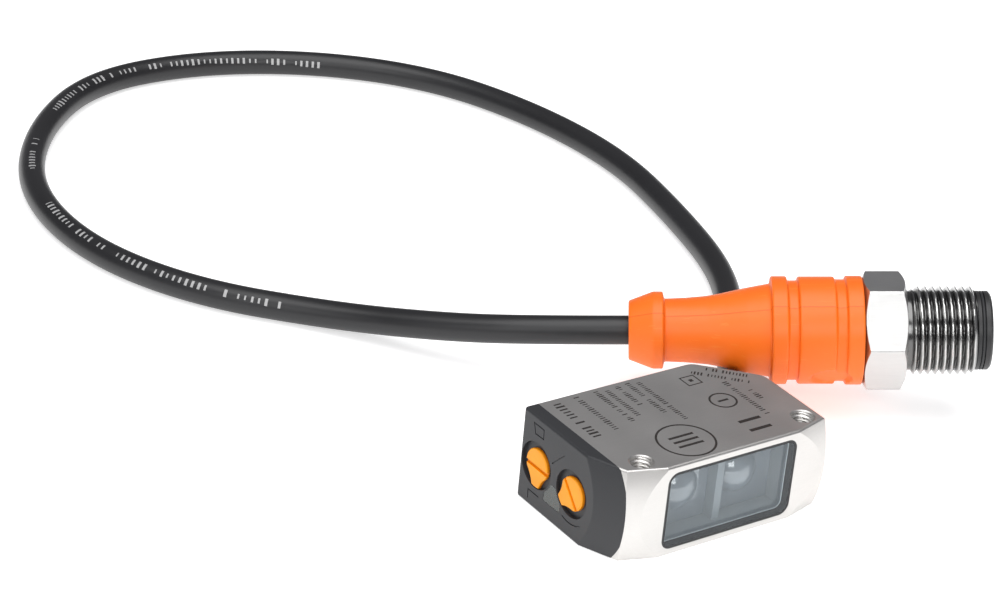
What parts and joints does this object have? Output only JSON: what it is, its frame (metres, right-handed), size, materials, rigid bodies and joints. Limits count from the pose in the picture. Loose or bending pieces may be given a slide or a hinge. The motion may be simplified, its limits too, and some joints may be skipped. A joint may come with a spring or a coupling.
{
  "type": "photoelectric sensor",
  "caption": "Small block-shaped light sensor in a steel housing with a window, two setting knobs and a short lead that ends in a round screw plug.",
  "frame": {"origin": "bottom centre of the sensor's box as it lies on a broad side, the lead and its plug left out", "axes": "+X from the control face towards the cable end, -Y out of the optical window, +Z through the thickness"},
  "size_m": [0.0937, 0.1589, 0.0197],
  "materials": {
    "stainless": "satin, bead blasted",
    "cap_plastic": "matt moulded",
    "knob_plastic": "smooth moulded",
    "seal_rubber": "matt",
    "window_glass": "polished clear",
    "lens_clear": "polished clear",
    "black_moulding": "matt moulded",
    "trimmer_body": "matt",
    "trimmer_rotor": "smooth",
    "thin_steel": "blackened",
    "board_green": "solder mask",
    "chip_black": "matt",
    "chip_pale": "ceramic",
    "gland_metal": "turned",
    "sleeve_rubber": "satin",
    "cable_jacket": "satin",
    "wire_insulation": "smooth",
    "grip_orange": "satin moulded",
    "nut_steel": "turned and polished",
    "contact_brass": "gold plated"
  },
  "bodies": {
    "sensor": {"aperture_plate": "thin_steel", "board_capacitors": "chip_pale", "board_header": "black_moulding", "cable": "cable_jacket", "cable_gland": "gland_metal", "cap_seal": "seal_rubber", "connector_grip": "grip_orange", "connector_wires": "wire_insulation", "contact_carrier": "black_moulding", "contact_pins": "contact_brass", "control_board": "board_green", "controller_chip": "chip_black", "core_wires": "wire_insulation", "driver_chip": "chip_black", "emitter_led": "chip_pale", "emitter_lens": "lens_clear", "end_cap": "cap_plastic", "front_window": "window_glass", "gland_ring": "seal_rubber", "header_pins": "contact_brass", "housing": "stainless", "light_guide": "lens_clear", "main_board": "board_green", "mode_trimmer": "trimmer_body", "nose_ring": "seal_rubber", "optic_carrier": "black_moulding", "range_trimmer": "trimmer_body", "ratchet_ring": "black_moulding", "receiver_lens": "lens_clear", "receiver_photodiode": "chip_black", "status_leds": "chip_pale", "strain_relief": "sleeve_rubber", "window_seal": "seal_rubber"},
    "mode_knob": {"mode_knob": "knob_plastic", "mode_knob_ring": "seal_rubber", "mode_rotor": "trimmer_rotor"},
    "range_knob": {"range_knob": "knob_plastic", "range_knob_ring": "seal_rubber", "range_rotor": "trimmer_rotor"},
    "coupling_nut": {"coupling_nut": "nut_steel"}
  },
  "joints": [
    {"name": "mode_knob_turn", "type": "hinge", "parent": "sensor", "child": "mode_knob", "pos_m": [-0.0155, 0.0066, 0.0062], "axis": [1, 0, 0], "range_deg": [-45, 225]},
    {"name": "range_knob_turn", "type": "hinge", "parent": "sensor", "child": "range_knob", "pos_m": [-0.0155, -0.00105, 0.0062], "axis": [1, 0, 0], "range_deg": [0, 270]},
    {"name": "coupling_nut_spin", "type": "hinge", "parent": "sensor", "child": "coupling_nut", "pos_m": [0.04175, 0.00643, 0.0122], "axis": [0.8074, -0.5819, 0.0971], "continuous": true}
  ]
}
